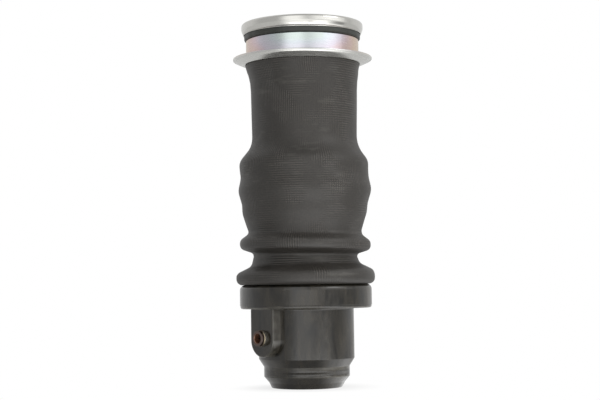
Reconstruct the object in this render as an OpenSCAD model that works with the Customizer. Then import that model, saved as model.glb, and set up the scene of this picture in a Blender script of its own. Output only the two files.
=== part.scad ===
// Air bellows for a truck cab: a folded rubber sleeve between a pressed metal top end
// and a plastic base that slides on a damper tube.
// The axis is Z, the nose stands at Z = 0 and the air port faces -Y. Sizes are in mm.

/* [Nose and body] */
// Wall of the nose round the seals' pocket
nose_wall = 1.3; // [1:0.1:2.2]
// How much the lower cone narrows the nose
nose_taper = 1.6; // [1:0.1:2.4]
// Height of the lower cone
nose_low_h = 3.5; // [2.5:0.1:4.5]
// Height of the upper cone
nose_high_h = 4; // [3:0.1:5]
// Wall of the neck band round the seals' pocket
neck_wall = 4.7; // [4:0.1:6]
// Height of the neck band
neck_band_h = 6.5; // [5:0.1:8]
// Height of the shoulder that widens into the body
shoulder_h = 5.2; // [4:0.1:6.5]
// Wall of the body round the seals' pocket
body_wall = 8; // [7.5:0.1:10]
// Height of the straight body
body_h = 33; // [30:0.5:40]
// How far the flange's rim stays inside the clamp collar
flange_inset = 0.25; // [0:0.05:1]
// Thickness of the base flange
flange_t = 2.1; // [1.6:0.1:3]
// Rounding of the moulded edges and corners that run round the body
edge_round = 0.8; // [0.3:0.1:1.2]

/* [Clamp collar] */
// Room between the crimp ring and the clamp collar
crimp_room = 6.5; // [5.5:0.1:8]
// Height of the clamp collar
collar_h = 13.7; // [12.5:0.1:15]
// Wall of the clamp collar
collar_wall = 2.8; // [2:0.1:3.5]
// Room between the cuff and the collar's mouth
mouth_room = 4.6; // [4:0.1:5.5]
// Rounding of the collar's top edge
collar_round = 3.5; // [1.5:0.1:4]

/* [Bellows] */
// Thickness of the rubber
rubber_t = 3; // [2.4:0.1:3.2]
// Outer radius of the cuff on the base
cuff_r = 33; // [32.8:0.1:33.6]
// How far the lower fold's crest stays inside the top flange's rim
fold_inset = 0.45; // [0:0.05:2]
// Height of the lower fold
low_fold_h = 12.7; // [12:0.1:15]
// Radius of the valley between the folds
valley_r = 34; // [33.5:0.1:35.5]
// Height of the valley between the folds
valley_h = 7.15; // [6.5:0.05:10]
// Crest radius of the upper fold
high_fold_r = 43.6; // [42:0.1:46]
// Height of the upper fold
high_fold_h = 13.55; // [13:0.05:16]
// Radius of the waist over the folds
waist_r = 37.2; // [36.5:0.1:39]
// Radius of the shelf under the lower belly
shelf_r = 41.7; // [41:0.1:43]
// Crest radius of the lower belly
low_belly_r = 44.5; // [43.5:0.1:46]
// Height from the waist to the lower belly's crest
low_belly_h = 28.7; // [26:0.1:32]
// Radius of the dent between the bellies
dent_r = 42.65; // [41.5:0.05:43]
// Height from the lower belly's crest to the dent
dent_h = 8.8; // [8:0.1:12]
// Crest radius of the upper belly
high_belly_r = 43.2; // [42.5:0.1:44.5]
// Height from the dent to the upper belly's crest
high_belly_h = 10.5; // [9:0.1:13]
// Height of the slope from the upper belly to the neck
slope_h = 10.8; // [10:0.1:14]
// Radius of the neck
neck_r = 34.95; // [34.5:0.05:36]
// Height of the neck
neck_h = 42.4; // [38:0.2:48]
// Height of the flare over the neck
flare_h = 10.7; // [10:0.1:14]

/* [Top end] */
// Inner radius of the bead ring's sleeve
sleeve_in_r = 31.85; // [31:0.05:32]
// Sheet thickness of the bead ring
sheet_t = 1.2; // [0.9:0.05:1.3]
// Length of the sleeve below the seal ring
sleeve_len = 21.5; // [15:0.5:22]
// How far the bead stands out from its turned-in lip
bead_proud = 1.35; // [1:0.05:2.5]
// Height of the bead
bead_h = 7.6; // [7:0.1:9]
// Height of the bead's straight outer wall
bead_wall_h = 4.2; // [3.8:0.1:4.6]
// How far the lip stands out from the seal ring
lip_proud = 0.5; // [0:0.05:0.8]
// How far the seal ring stands out from the outer collar
seal_proud = 1.15; // [0.6:0.05:1.6]
// Height of the seal ring
seal_h = 3.7; // [3:0.1:4.5]
// Wall of the outer collar
top_collar_t = 1.5; // [1.1:0.05:1.8]
// Height of the outer collar over its flange
top_collar_h = 11.8; // [10:0.1:14]
// Width of the top flange
top_flange_w = 8.8; // [7:0.1:11]
// Thickness of the top flange
top_flange_t = 1.5; // [1.2:0.05:2]
// Height of the skirt below the top flange
skirt_h = 3; // [2.4:0.1:3.6]
// Thickness of the skirt's lower edge
skirt_t = 0.9; // [0.7:0.05:1.2]

/* [Damper bore] */
// Radius of the damper tube that the base slides on
tube_r = 20; // [19.8:0.05:20.1]
// Running clearance of the guide bush
bush_gap = 0.06; // [0.03:0.01:0.09]
// Room for the seals round the damper tube
pocket_w = 3.7; // [3.5:0.05:4]
// Thickness of the nose's inner lip
nose_lip_h = 4; // [3.4:0.1:4.5]
// Height of the wiper
wiper_h = 3.2; // [2.6:0.1:3.6]
// Height of the spacer between the O-rings
spacer_h = 2.2; // [1.6:0.1:2.6]
// Length of the guide bush
bush_h = 6.5; // [5:0.1:7]
// Thickness of the washer over the guide bush
washer_t = 0.8; // [0.5:0.1:1]
// Wall of the spigot round the cavity over the seals
spigot_wall = 3.45; // [3:0.05:4]

/* [Air port] */
// Height of the port's axis over the nose
port_z = 33.5; // [32:0.1:35]
// Half the width of the port boss
boss_half_w = 11.1; // [10:0.1:12.5]
// How far the middle of the boss's round end lies below the port's axis
boss_drop = 1.3; // [0:0.1:2.5]
// How far the boss stands out from the body
boss_proud = 7.9; // [7:0.1:9.5]
// Radius of the bore that the brass cartridge is pressed into
port_bore_r = 5.05; // [4.9:0.05:5.2]
// Outer radius of the port's brass ring
port_ring_r = 5.4; // [5.3:0.05:6.5]
// How far the brass ring stands out of the boss
port_ring_h = 1.9; // [1.5:0.1:3]
// Radius of the hole for the air tube
tube_hole_r = 3.15; // [3.1:0.01:3.2]
// Outer radius of the collet's head
collet_head_r = 4.9; // [4.7:0.05:5.1]
// Thickness of the collet's head
collet_head_t = 0.8; // [0.6:0.05:0.9]
// Travel of the collet when it is pushed in
collet_travel = 1.2; // [1:0.05:1.3]

/* [Hidden] */
$fn = 96;

// Clearance between pieces that are gripped or stacked
fit_gap = 0.05;
// Clearance of an O-ring from its groove and tube
ring_gap = 0.02;
// Room over an O-ring in its groove
groove_gap = 0.1;
// Running clearance of the collet in the brass cartridge
slide_gap = 0.06;
// Clearance of the rubber from the metal that moves with the top
grip_gap = 0.1;
// Clearance under a piece that rests on another
rest_gap = 0.3;
// Chamfer on machined and moulded edges
edge = 0.4;
// Chamfer at the seam between the flange and the clamp collar
seam_edge = 0.15;
// Rounding of an inside corner of the moulded base
fillet = 1;
// Rounding under the flange's rim
flange_round = 0.7 * flange_t;
// Arc step of the outlines, in degrees
arc_step = 15;

// Radii from the damper tube outward
seal_in_r = tube_r + 0.1;
bush_r = tube_r + bush_gap;
nose_bore_r = tube_r + 0.5;
pocket_r = tube_r + pocket_w;
wiper_pocket_r = pocket_r - 0.9;
nose_mid_r = pocket_r + nose_wall;
nose_end_r = nose_mid_r - nose_taper;
neck_band_r = pocket_r + neck_wall;
body_r = pocket_r + body_wall;
boss_face = body_r + boss_proud;

// Heights from the nose upward
neck_z = nose_low_h + nose_high_h;
chamfer_z = neck_z + neck_band_h;
body_z = chamfer_z + shoulder_h;
flange_z = body_z + body_h;
collar_z = flange_z + flange_t;
collar_top = collar_z + collar_h;

// Radii of the top end, from the sleeve outward
sleeve_r = sleeve_in_r + sheet_t;
grip_r = sleeve_r + grip_gap + rubber_t;
top_collar_in_r = grip_r + grip_gap;
top_collar_r = top_collar_in_r + top_collar_t;
top_flange_r = top_collar_r + top_flange_w;
seal_r = top_collar_r + seal_proud;
lip_r = seal_r + lip_proud;
bead_r = lip_r + bead_proud;
flare_r = top_collar_r + 0.6;
skirt_in_r = flare_r + grip_gap;
skirt_r = skirt_in_r + skirt_t;

// Heights and the widest radius along the bellows
low_fold_r = top_flange_r - fold_inset;
cuff_z = collar_z + 0.7;
fold_z = collar_top + rest_gap + 0.1;
valley_z = fold_z + low_fold_h;
valley_top = valley_z + valley_h;
waist_z = valley_top + high_fold_h;
low_belly_z = waist_z + low_belly_h;
dent_z = low_belly_z + dent_h;
high_belly_z = dent_z + high_belly_h;
neck_low_z = high_belly_z + slope_h;
neck_top_z = neck_low_z + neck_h;
flare_z = neck_top_z + flare_h;

// Heights of the top end, from the skirt upward
skirt_z = flare_z + 1.2;
top_flange_z = skirt_z + skirt_h;
collar_foot_z = top_flange_z + top_flange_t;
seal_z = collar_foot_z + top_collar_h;
bead_z = seal_z + seal_h;
top_z = bead_z + bead_h;
sleeve_z = seal_z - sleeve_len;
mouth_h = 3.4;
top_edge_round = 0.5;

// The cuff's grip on the base: a barbed spigot and a swaged ring
spigot_r = cuff_r - rubber_t - fit_gap;
cavity_r = spigot_r - spigot_wall;
spigot_top = collar_top - 1.4;
barb_h = 3.4;
barb_depth = 0.6;
crimp_t = 1.5;
crimp_h = 7.5;
crimp_r = cuff_r + fit_gap + crimp_t;

// The clamp collar round them, the flange under it and the ring that centres it
collar_in_r = crimp_r + crimp_room;
collar_r = collar_in_r + collar_wall;
collar_mouth_r = cuff_r + mouth_room;
flange_r = collar_r - flange_inset;
collar_lip_t = 2.8;
register_h = 1.6;
register_t = 1.8;

// Seal pack, from the nose lip upward
groove_h = pocket_r - seal_in_r + groove_gap;
wiper_z = nose_lip_h;
low_ring_z = wiper_z + wiper_h;
spacer_z = low_ring_z + groove_h;
high_ring_z = spacer_z + spacer_h;
bush_z = high_ring_z + groove_h;
washer_z = bush_z + bush_h;
retainer_z = washer_z + washer_t;
retainer_t = 1;
retainer_split = 4;
pocket_top = retainer_z + retainer_t + 0.6;

// Port boss, from the wall of the cavity outward
boss_root = 20;
boss_round = 1.2;

// Air port, from the boss's face inward
cartridge_r = port_bore_r - fit_gap;
cartridge_len = 8.6;
port_end = boss_face - cartridge_len;
port_front = boss_face + port_ring_h;
passage_r = 2;
port_in_r = collet_head_r - 0.6;
barrel_r = port_in_r - slide_gap;
collet_front = port_front + collet_travel + collet_head_t;
collet_in = boss_face - 1.65;
collet_slot_w = 0.7;
collet_slot_len = 2.2;
grab_t = 0.35;
grab_z = collet_in - collet_travel - rest_gap - grab_t;
port_spacer_t = 0.8;
port_spacer_z = grab_z - fit_gap - port_spacer_t;
tube_ring_r = (port_in_r - tube_hole_r) / 2 - ring_gap;
tube_ring_z = port_spacer_z - fit_gap - tube_ring_r;
port_stop_z = tube_ring_z - tube_ring_r - fit_gap;
tube_stop_z = port_stop_z - 0.8;
body_groove_z = port_end + 1.6;
body_groove_h = 1.4;
body_groove_d = 0.8;

function unit(v) = v / norm(v);
function left_of(v) = [-v[1], v[0]];
function turn_of(u, w) = acos(max(-1, min(1, u * w)));
function reversed(list) = [for (i = [len(list) - 1:-1:0]) list[i]];

// Points of an arc about c, from angle a to angle b
function arc(c, r, a, b) =
    let (steps = max(1, ceil(abs(b - a) / arc_step)))
    [for (i = [0:steps]) c + r * [cos(a + (b - a) * i / steps), sin(a + (b - a) * i / steps)]];

// Points of one rounded corner at q, shifted to the left of the path by d
function corner(p, q, s, r, d) =
    let (
        u = unit(q - p),
        w = unit(s - q),
        side = left_of(u) * w < 0 ? -1 : 1,
        turn = turn_of(u, w),
        middle = q - u * r * tan(turn / 2) + left_of(u) * r * side,
        start = atan2(-u[0] * side, u[1] * side)
    )
    arc(middle, r - side * d, start, start + side * turn);

// A path of [radius, height, rounding] stations, shifted to its left by d
function shifted(path, d) =
    let (
        n = len(path) - 1,
        p = [for (s = path) [s[0], s[1]]],
        first = p[0] + left_of(unit(p[1] - p[0])) * d,
        last = p[n] + left_of(unit(p[n] - p[n - 1])) * d,
        middle = [for (i = [1:n - 1]) each corner(p[i - 1], p[i], p[i + 1], path[i][2], d)]
    )
    concat([first], middle, [last]);

// The section between a path and the same path shifted to its left by t
function band(path, t) = concat(shifted(path, 0), reversed(shifted(path, t)));

// A ring of rectangular section with chamfered edges
module ring(r_in, r_out, z, h, c) {
    rotate_extrude()
        polygon([
            [r_in + c, z],
            [r_out - c, z],
            [r_out, z + c],
            [r_out, z + h - c],
            [r_out - c, z + h],
            [r_in + c, z + h],
            [r_in, z + h - c],
            [r_in, z + c]
        ]);
}

// An O-ring between two radii, with its section's middle at height z
module o_ring(r_in, r_out, z) {
    translate([0, 0, z])
        rotate_extrude()
            translate([(r_in + r_out) / 2, 0])
                circle(r = (r_out - r_in) / 2);
}

// Turns a piece built along +Z so that +Z points out of the air port
module at_port() {
    translate([0, 0, port_z])
        rotate([90, 0, 0])
            children();
}

// Outline of the nose, the body and the flange, from radius, height and rounding
function base_skin() = shifted([
    [nose_bore_r - 2, 0, 0],
    [nose_end_r, 0, edge_round],
    [nose_mid_r, nose_low_h, edge_round],
    [neck_band_r, neck_z, edge_round],
    [neck_band_r, chamfer_z, edge_round],
    [body_r, body_z, edge_round],
    [body_r, flange_z, fillet],
    [flange_r, flange_z, flange_round],
    [flange_r, collar_z, seam_edge],
    [collar_in_r + 1, collar_z, 0]
], 0);

// Outline of the ring that centres the collar
function base_register() = [
    [collar_in_r - fit_gap, collar_z],
    [collar_in_r - fit_gap, collar_z + register_h - edge],
    [collar_in_r - edge, collar_z + register_h],
    [collar_in_r - register_t, collar_z + register_h],
    [collar_in_r - register_t, collar_z + edge]
];

// Outline of the barbed spigot inside the cuff
function base_spigot() = concat(
    [[spigot_r, collar_z + edge]],
    [for (z = [collar_z + 1.4:barb_h:spigot_top - barb_h]) each [
        [spigot_r - barb_depth, z],
        [spigot_r, z + barb_h * 0.6],
        [spigot_r, z + barb_h * 0.8]
    ]],
    [
        [spigot_r - barb_depth, spigot_top - 2 * edge],
        [spigot_r - barb_depth - 2 * edge, spigot_top],
        [nose_bore_r - 2, spigot_top]
    ]
);

// Everything that is hollow inside the base
module base_hollow() {
    rotate_extrude()
        polygon([
            [0, -1],
            [nose_bore_r + edge + 1, -1],
            [nose_bore_r, edge],
            [nose_bore_r, wiper_z],
            [wiper_pocket_r, wiper_z],
            [wiper_pocket_r, low_ring_z],
            [pocket_r, low_ring_z],
            [pocket_r, pocket_top],
            [cavity_r, pocket_top + (cavity_r - pocket_r) / 2],
            [cavity_r, spigot_top - edge],
            [cavity_r + edge, spigot_top],
            [cavity_r + edge, spigot_top + 1],
            [0, spigot_top + 1]
        ]);
}

// Half of the boss's section, from its root to its rounded face
function boss_half() = concat(
    [[0, 0], [boss_half_w, 0]],
    arc([boss_half_w - boss_round, boss_face - boss_root - boss_round], boss_round, 0, 90),
    [[0, boss_face - boss_root]]
);

// Tongue-shaped boss that carries the air port, round at its lower end
module port_boss() {
    translate([0, -boss_root, port_z - boss_drop]) {
        rotate([90, 0, 0])
            rotate_extrude()
                polygon(boss_half());
        linear_extrude(flange_z - port_z + boss_drop + flange_t / 2)
            rotate(180)
                for (side = [0, 1])
                    mirror([side, 0])
                        polygon(boss_half());
    }
}

// Bore for the brass cartridge and the air passage behind it
module port_hole() {
    at_port() {
        translate([0, 0, port_end])
            cylinder(r = port_bore_r, h = cartridge_len + 1);
        translate([0, 0, cavity_r - 2])
            cylinder(r = passage_r, h = port_end - cavity_r + 3);
    }
}

module base() {
    color("dimgray")
        difference() {
            union() {
                rotate_extrude()
                    polygon(concat(base_skin(), base_register(), base_spigot()));
                port_boss();
            }
            base_hollow();
            port_hole();
        }
}

// Ring clamp that hides the crimped cuff
module clamp_collar() {
    lip_round = 0.8;
    color("gray")
        rotate_extrude()
            polygon(concat(
                [
                    [collar_in_r, collar_z],
                    [collar_r - seam_edge, collar_z],
                    [collar_r, collar_z + seam_edge]
                ],
                arc([collar_r - collar_round, collar_top - collar_round], collar_round, 0, 90),
                arc([collar_mouth_r + lip_round, collar_top - lip_round], lip_round, 90, 270),
                [
                    [collar_mouth_r + 2 * lip_round, collar_top - collar_lip_t],
                    [collar_in_r - edge, collar_top - collar_lip_t],
                    [collar_in_r, collar_top - collar_lip_t - edge]
                ]
            ));
}

// Steel ring swaged round the cuff, with its edges turned out
module crimp_ring() {
    crimp_z = cuff_z + 1;
    color("silver")
        rotate_extrude()
            polygon(band([
                [crimp_r + edge, crimp_z, 0],
                [crimp_r, crimp_z + 1.4, 2],
                [crimp_r, crimp_z + crimp_h - 1, 2],
                [crimp_r + edge / 2, crimp_z + crimp_h, 0]
            ], crimp_t));
}

// Stations down the outside of the bellows: radius, height, rounding
function bellows_path() = [
    [grip_r, seal_z - rest_gap, 0],
    [grip_r, skirt_z + 3.2, 4],
    [flare_r, flare_z + 0.2, 2],
    [neck_r + 0.7, neck_top_z, 55],
    [neck_r, neck_low_z, 17],
    [high_belly_r, high_belly_z, 8.5],
    [dent_r, dent_z, 14],
    [low_belly_r, low_belly_z, 10],
    [shelf_r + 0.27, waist_z + low_belly_h * 0.69, 10],
    [shelf_r - 0.23, waist_z + low_belly_h * 0.47, 14],
    [waist_r, waist_z, 3.6],
    [high_fold_r, valley_top + high_fold_h * 0.645, 4.2],
    [high_fold_r, valley_top + high_fold_h * 0.23, 3.9],
    [valley_r, valley_top, 2.5],
    [valley_r + 2.1, valley_z, 5],
    [low_fold_r, fold_z + low_fold_h * 0.61, 4.7],
    [low_fold_r, fold_z, 4.05],
    [cuff_r, fold_z, 3.4],
    [cuff_r, cuff_z, 0]
];

// Rubber sleeve with its folds, of even thickness
module bellows() {
    color("darkslategray")
        rotate_extrude()
            polygon(band(bellows_path(), -rubber_t));
}

// Wiper that keeps dirt off the damper tube
module wiper_seal() {
    color("black")
        rotate_extrude()
            polygon([
                [nose_bore_r, wiper_z + fit_gap],
                [wiper_pocket_r - fit_gap, wiper_z + fit_gap],
                [wiper_pocket_r - fit_gap, wiper_z + wiper_h - fit_gap],
                [nose_bore_r + 0.6, wiper_z + wiper_h - fit_gap],
                [seal_in_r, wiper_z + 0.9],
                [seal_in_r, wiper_z + 0.6]
            ]);
}

module lower_o_ring() {
    color("black")
        o_ring(seal_in_r, pocket_r - ring_gap, low_ring_z + groove_h / 2);
}

module seal_spacer() {
    color("ivory")
        ring(tube_r + 0.3, pocket_r - fit_gap, spacer_z, spacer_h, edge / 2);
}

module upper_o_ring() {
    color("black")
        o_ring(seal_in_r, pocket_r - ring_gap, high_ring_z + groove_h / 2);
}

// Plastic bush that guides the damper tube
module guide_bush() {
    color("wheat")
        ring(bush_r, pocket_r - fit_gap, bush_z, bush_h, edge);
}

module backup_washer() {
    color("silver")
        ring(nose_bore_r, pocket_r - fit_gap, washer_z, washer_t, edge / 4);
}

// Split spring ring that holds the seal pack down
module pack_retainer() {
    color("slategray")
        difference() {
            ring(nose_bore_r + 0.9, pocket_r - ring_gap, retainer_z, retainer_t, edge / 4);
            translate([-retainer_split / 2, nose_bore_r, retainer_z - 1])
                cube([retainer_split, pocket_r, retainer_t + 2]);
        }
}

// Brass cartridge pressed into the boss, with its ring on the boss's face
module port_body() {
    color("peru")
        at_port()
            rotate_extrude()
                polygon([
                    [passage_r, port_end],
                    [cartridge_r - edge, port_end],
                    [cartridge_r, port_end + edge],
                    [cartridge_r, body_groove_z],
                    [cartridge_r - body_groove_d, body_groove_z],
                    [cartridge_r - body_groove_d, body_groove_z + body_groove_h],
                    [cartridge_r, body_groove_z + body_groove_h],
                    [cartridge_r, boss_face],
                    [port_ring_r, boss_face],
                    [port_ring_r, port_front - edge],
                    [port_ring_r - edge, port_front],
                    [port_in_r + edge / 2, port_front],
                    [port_in_r, port_front - edge / 2],
                    [port_in_r, port_stop_z],
                    [tube_hole_r, port_stop_z],
                    [tube_hole_r, tube_stop_z],
                    [passage_r, tube_stop_z]
                ]);
}

module port_body_seal() {
    color("black")
        at_port()
            o_ring(cartridge_r - body_groove_d + ring_gap, port_bore_r - ring_gap,
                body_groove_z + body_groove_h / 2);
}

module port_tube_seal() {
    color("black")
        at_port()
            o_ring(tube_hole_r + ring_gap, port_in_r - ring_gap, tube_ring_z);
}

module port_seal_spacer() {
    color("ivory")
        at_port()
            ring(tube_hole_r + fit_gap, port_in_r - fit_gap, port_spacer_z, port_spacer_t, edge / 4);
}

// Toothed spring ring that grips the air tube
module port_grab_ring() {
    tooth_gap_w = 0.5;
    color("silver")
        at_port()
            difference() {
                translate([0, 0, grab_z])
                    cylinder(r = port_in_r - fit_gap, h = grab_t);
                translate([0, 0, grab_z - 1])
                    cylinder(r = tube_hole_r + fit_gap, h = grab_t + 2);
                for (a = [0:45:315])
                    rotate(a)
                        translate([tube_hole_r - 1, -tooth_gap_w / 2, grab_z - 1])
                            cube([1.5, tooth_gap_w, grab_t + 2]);
            }
}

// Release collet: pushed in, it frees the air tube
module port_collet() {
    color("saddlebrown")
        at_port()
            difference() {
                rotate_extrude()
                    polygon([
                        [tube_hole_r, collet_in],
                        [barrel_r - edge, collet_in],
                        [barrel_r, collet_in + 2 * edge],
                        [barrel_r, collet_front - collet_head_t],
                        [collet_head_r, collet_front - collet_head_t],
                        [collet_head_r, collet_front - edge / 2],
                        [collet_head_r - edge / 2, collet_front],
                        [tube_hole_r + edge, collet_front],
                        [tube_hole_r, collet_front - edge]
                    ]);
                for (a = [0, 90])
                    rotate(a)
                        translate([-port_ring_r, -collet_slot_w / 2, collet_in - 1])
                            cube([2 * port_ring_r, collet_slot_w, collet_slot_len + 1]);
            }
}

// Rolled bead with the sleeve that carries the bellows, from the lip over the top
module bead_ring() {
    color("lightgray")
        rotate_extrude()
            polygon(band([
                [lip_r, bead_z, 0],
                [bead_r, top_z - bead_wall_h, 2.5],
                [bead_r, top_z, 1.8],
                [sleeve_in_r, top_z, 2.2],
                [sleeve_in_r, sleeve_z + 3, 4],
                [sleeve_in_r - 0.6, sleeve_z, 0]
            ], sheet_t));
}

// Seal ring between the bead and the outer collar
module bead_seal() {
    seal_round = 1.2;
    color("black")
        rotate_extrude()
            polygon(concat(
                [[sleeve_r + fit_gap, seal_z], [top_collar_r, seal_z]],
                arc([seal_r - seal_round, seal_z + seal_round], seal_round, -60, 0),
                [[seal_r, bead_z], [sleeve_r + fit_gap, bead_z]]
            ));
}

// Pressed collar with the flange that seats in the cab bracket
module outer_collar() {
    rim_in = top_flange_r - top_edge_round;
    color("gainsboro")
        rotate_extrude()
            polygon(concat(
                [
                    [top_collar_in_r, seal_z],
                    [top_collar_r - edge, seal_z],
                    [top_collar_r, seal_z - edge]
                ],
                arc([top_collar_r + fillet, collar_foot_z + fillet], fillet, 180, 270),
                arc([rim_in, collar_foot_z - top_edge_round], top_edge_round, 90, 0),
                arc([rim_in, top_flange_z + top_edge_round], top_edge_round, 0, -65),
                [
                    [skirt_r, skirt_z],
                    [skirt_in_r, skirt_z],
                    [skirt_in_r - top_edge_round, skirt_z + 1],
                    [top_collar_in_r, skirt_z + mouth_h]
                ]
            ));
}

base();
clamp_collar();
crimp_ring();
bellows();
wiper_seal();
lower_o_ring();
seal_spacer();
upper_o_ring();
guide_bush();
backup_washer();
pack_retainer();
port_body();
port_body_seal();
port_tube_seal();
port_seal_spacer();
port_grab_ring();
port_collet();
bead_ring();
bead_seal();
outer_collar();
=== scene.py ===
import math
import bpy
from mathutils import Matrix, Vector


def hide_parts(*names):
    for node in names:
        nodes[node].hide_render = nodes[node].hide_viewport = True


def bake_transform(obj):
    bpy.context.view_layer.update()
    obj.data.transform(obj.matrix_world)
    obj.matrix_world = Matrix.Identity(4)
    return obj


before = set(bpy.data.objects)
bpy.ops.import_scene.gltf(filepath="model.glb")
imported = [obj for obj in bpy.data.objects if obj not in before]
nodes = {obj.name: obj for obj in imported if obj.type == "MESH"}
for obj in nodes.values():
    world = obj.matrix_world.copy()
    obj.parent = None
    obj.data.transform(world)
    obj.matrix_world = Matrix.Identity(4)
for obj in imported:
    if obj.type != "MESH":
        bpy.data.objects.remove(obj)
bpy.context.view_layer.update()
mm = 0.001

# the photograph's camera, in degrees and metres: it stands level with the rubber's foot and looks slightly up
camera = {
    "azimuth": 47, "distance": 0.967, "height": 0.0663,
    "pitch": 3.434, "roll": -0.84, "yaw": 0.176,
    "lens": 87, "sensor": 36,  # mm
    "clip": (0.05, 30),
}


def linear(hexColour):
    parts = [int(hexColour[i:i + 2], 16) / 255 for i in (1, 3, 5)]
    return [c / 12.92 if c <= 0.04045 else ((c + 0.055) / 1.055) ** 2.4 for c in parts] + [1]


# adds a node with its settings and links; an input takes a value, a hex colour or the socket that feeds it
def add(tree, kind, inputs=None, output=0, **settings):
    made = tree.nodes.new(kind)
    for name, value in settings.items():
        setattr(made, name, value)
    for key, value in (inputs or {}).items():
        if isinstance(value, bpy.types.NodeSocket):
            tree.links.new(value, made.inputs[key])
        elif isinstance(value, str) and value.startswith("#"):
            made.inputs[key].default_value = linear(value)
        else:
            made.inputs[key].default_value = value
    return made.outputs[output] if made.outputs else None


# the point at a distance from the axis at that height; azimuth 0 is in front, at -Y, and 90 at +X
def rotateAbout(azimuth, elevation, distance, height):
    a, e = math.radians(azimuth), math.radians(elevation)
    flat = math.cos(e) * distance
    return Vector((math.sin(a) * flat, -math.cos(a) * flat, height + math.sin(e) * distance))


def makeCamera():
    data = bpy.data.cameras.new("photoCamera")
    data.lens, data.sensor_width = camera["lens"], camera["sensor"]
    data.clip_start, data.clip_end = camera["clip"]
    made = bpy.data.objects.new("photoCamera", data)
    bpy.context.scene.collection.objects.link(made)
    made.location = rotateAbout(camera["azimuth"], 0, camera["distance"], camera["height"])
    turn = Matrix.Rotation(math.radians(camera["azimuth"] + camera["yaw"]), 4, "Z")
    tilt = Matrix.Rotation(math.radians(90 + camera["pitch"]), 4, "X")
    roll = Matrix.Rotation(math.radians(camera["roll"]), 4, "Z")
    made.rotation_euler = (turn @ tilt @ roll).to_euler()
    bpy.context.scene.camera = made


makeCamera()
print("camera placed")

# soft boxes; azimuths count from the photograph's camera to its right, and glow is how bright the cloth is
lampDistance, lampAim = 1.35, 0.12
lamps = {
    "key": {"azimuth": 58, "elevation": 16, "size": (1.4, 1.2), "glow": 2.0},
    "fill": {"azimuth": 6, "elevation": 14, "size": (0.8, 1.0), "glow": 0.7},
    "overhead": {"azimuth": 30, "elevation": 66, "size": (1.4, 0.8), "glow": 1.2},
    "rimRight": {"azimuth": 128, "elevation": 12, "size": (0.8, 1.2), "glow": 0.8},
    "rimLeft": {"azimuth": -130, "elevation": 12, "size": (0.8, 1.2), "glow": 0.6},
}
# what the glossy finishes mirror: a tent of grey cloth with brighter panels, and light patches on the floor.
# Each has its azimuth, half the width of its middle and the width of its soft edge in degrees, the soft
# edges where it starts and ends, and how much it adds to the rest
tent = {
    "radius": 1.5,
    "columns": 48, "rows": 12,
    "cloth": 0.6,
    "panels": {  # start and end are elevations in degrees
        "front": {"azimuth": -3, "half": 10, "soft": 25, "end": (6.5, 12.5), "glow": 1.15},
        "frontHigh": {
            "azimuth": -16, "half": 8, "soft": 24,
            "start": (6.5, 12.5), "end": (44, 60), "glow": 0.92,
        },
        "rightHigh": {
            "azimuth": 51, "half": 16, "soft": 36,
            "start": (6.5, 12.5), "end": (44, 60), "glow": 0.85,
        },
        "rightBox": {"azimuth": 58, "half": 9, "soft": 8, "start": (20, 28), "end": (44, 58), "glow": 2.4},
        "backLeft": {"azimuth": -135, "half": 20, "soft": 35, "glow": 0.22},
        "backRight": {"azimuth": 135, "half": 20, "soft": 25, "glow": 0.22},
    },
}
floorLight = {
    "rest": 0.7,
    "patches": {  # start and end are distances from the axis in metres
        "front": {"azimuth": 15, "half": 34, "soft": 30, "start": (0.05, 0.12), "glow": 0.78},
        "right": {"azimuth": 40, "half": 6, "soft": 20, "start": (0.05, 0.12), "glow": 0.35},
        "near": {
            "azimuth": 5, "half": 20, "soft": 30,
            "start": (0.05, 0.12), "end": (0.24, 0.36), "glow": 1.2,
        },
        "nearRight": {"azimuth": 72, "half": 18, "soft": 40, "end": (0.2, 0.34), "glow": 0.9},
        "shadow": {"azimuth": -5, "half": 30, "soft": 30, "end": (0.05, 0.12), "glow": -0.25},
        "gap": {
            "azimuth": 17, "half": 1, "soft": 6,
            "start": (0.25, 0.34), "end": (0.5, 0.7), "glow": -0.5,
        },
        "rightGap": {
            "azimuth": 70, "half": 12, "soft": 14,
            "start": (0.3, 0.45), "end": (0.75, 0.95), "glow": -0.35,
        },
    },
}


def makeLamps():
    for name, lamp in lamps.items():
        data = bpy.data.lights.new(name, "AREA")
        data.shape = "RECTANGLE"
        data.size, data.size_y = lamp["size"]
        # the watts that a cloth of that brightness gives off
        data.energy = lamp["glow"] * math.pi * data.size * data.size_y
        made = bpy.data.objects.new(name, data)
        bpy.context.scene.collection.objects.link(made)
        turn = camera["azimuth"] + lamp["azimuth"]
        made.location = rotateAbout(turn, lamp["elevation"], lampDistance, lampAim)
        aim = Vector((0, 0, lampAim)) - made.location
        made.rotation_euler = aim.to_track_quat("-Z", "Y").to_euler()
        made.visible_camera = made.visible_glossy = False


def stageMaterial(name):
    material = bpy.data.materials.new(name)
    material.use_nodes = True
    material.node_tree.nodes.clear()
    return material, material.node_tree


# a smooth curve through the points given, which run from the lowest value of its input to the highest
def smoothCurve(tree, value, points):
    first, last = points[0][0], points[-1][0]
    low, high = min(v for _, v in points), max(v for _, v in points)
    share = add(tree, "ShaderNodeMapRange", {"Value": value, "From Min": first, "From Max": last})
    curve = add(tree, "ShaderNodeFloatCurve", {"Value": share})
    line = curve.node.mapping.curves[0]
    spots = [((x - first) / (last - first), (v - low) / (high - low)) for x, v in points]
    line.points[0].location, line.points[1].location = spots[0], spots[-1]
    for spot in spots[1:-1]:
        line.points.new(*spot)
    curve.node.mapping.update()
    return add(tree, "ShaderNodeMapRange", {"Value": curve, "To Min": low, "To Max": high})


def inMetres(points):
    return [(x * mm, y * mm) for x, y in points]


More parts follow.
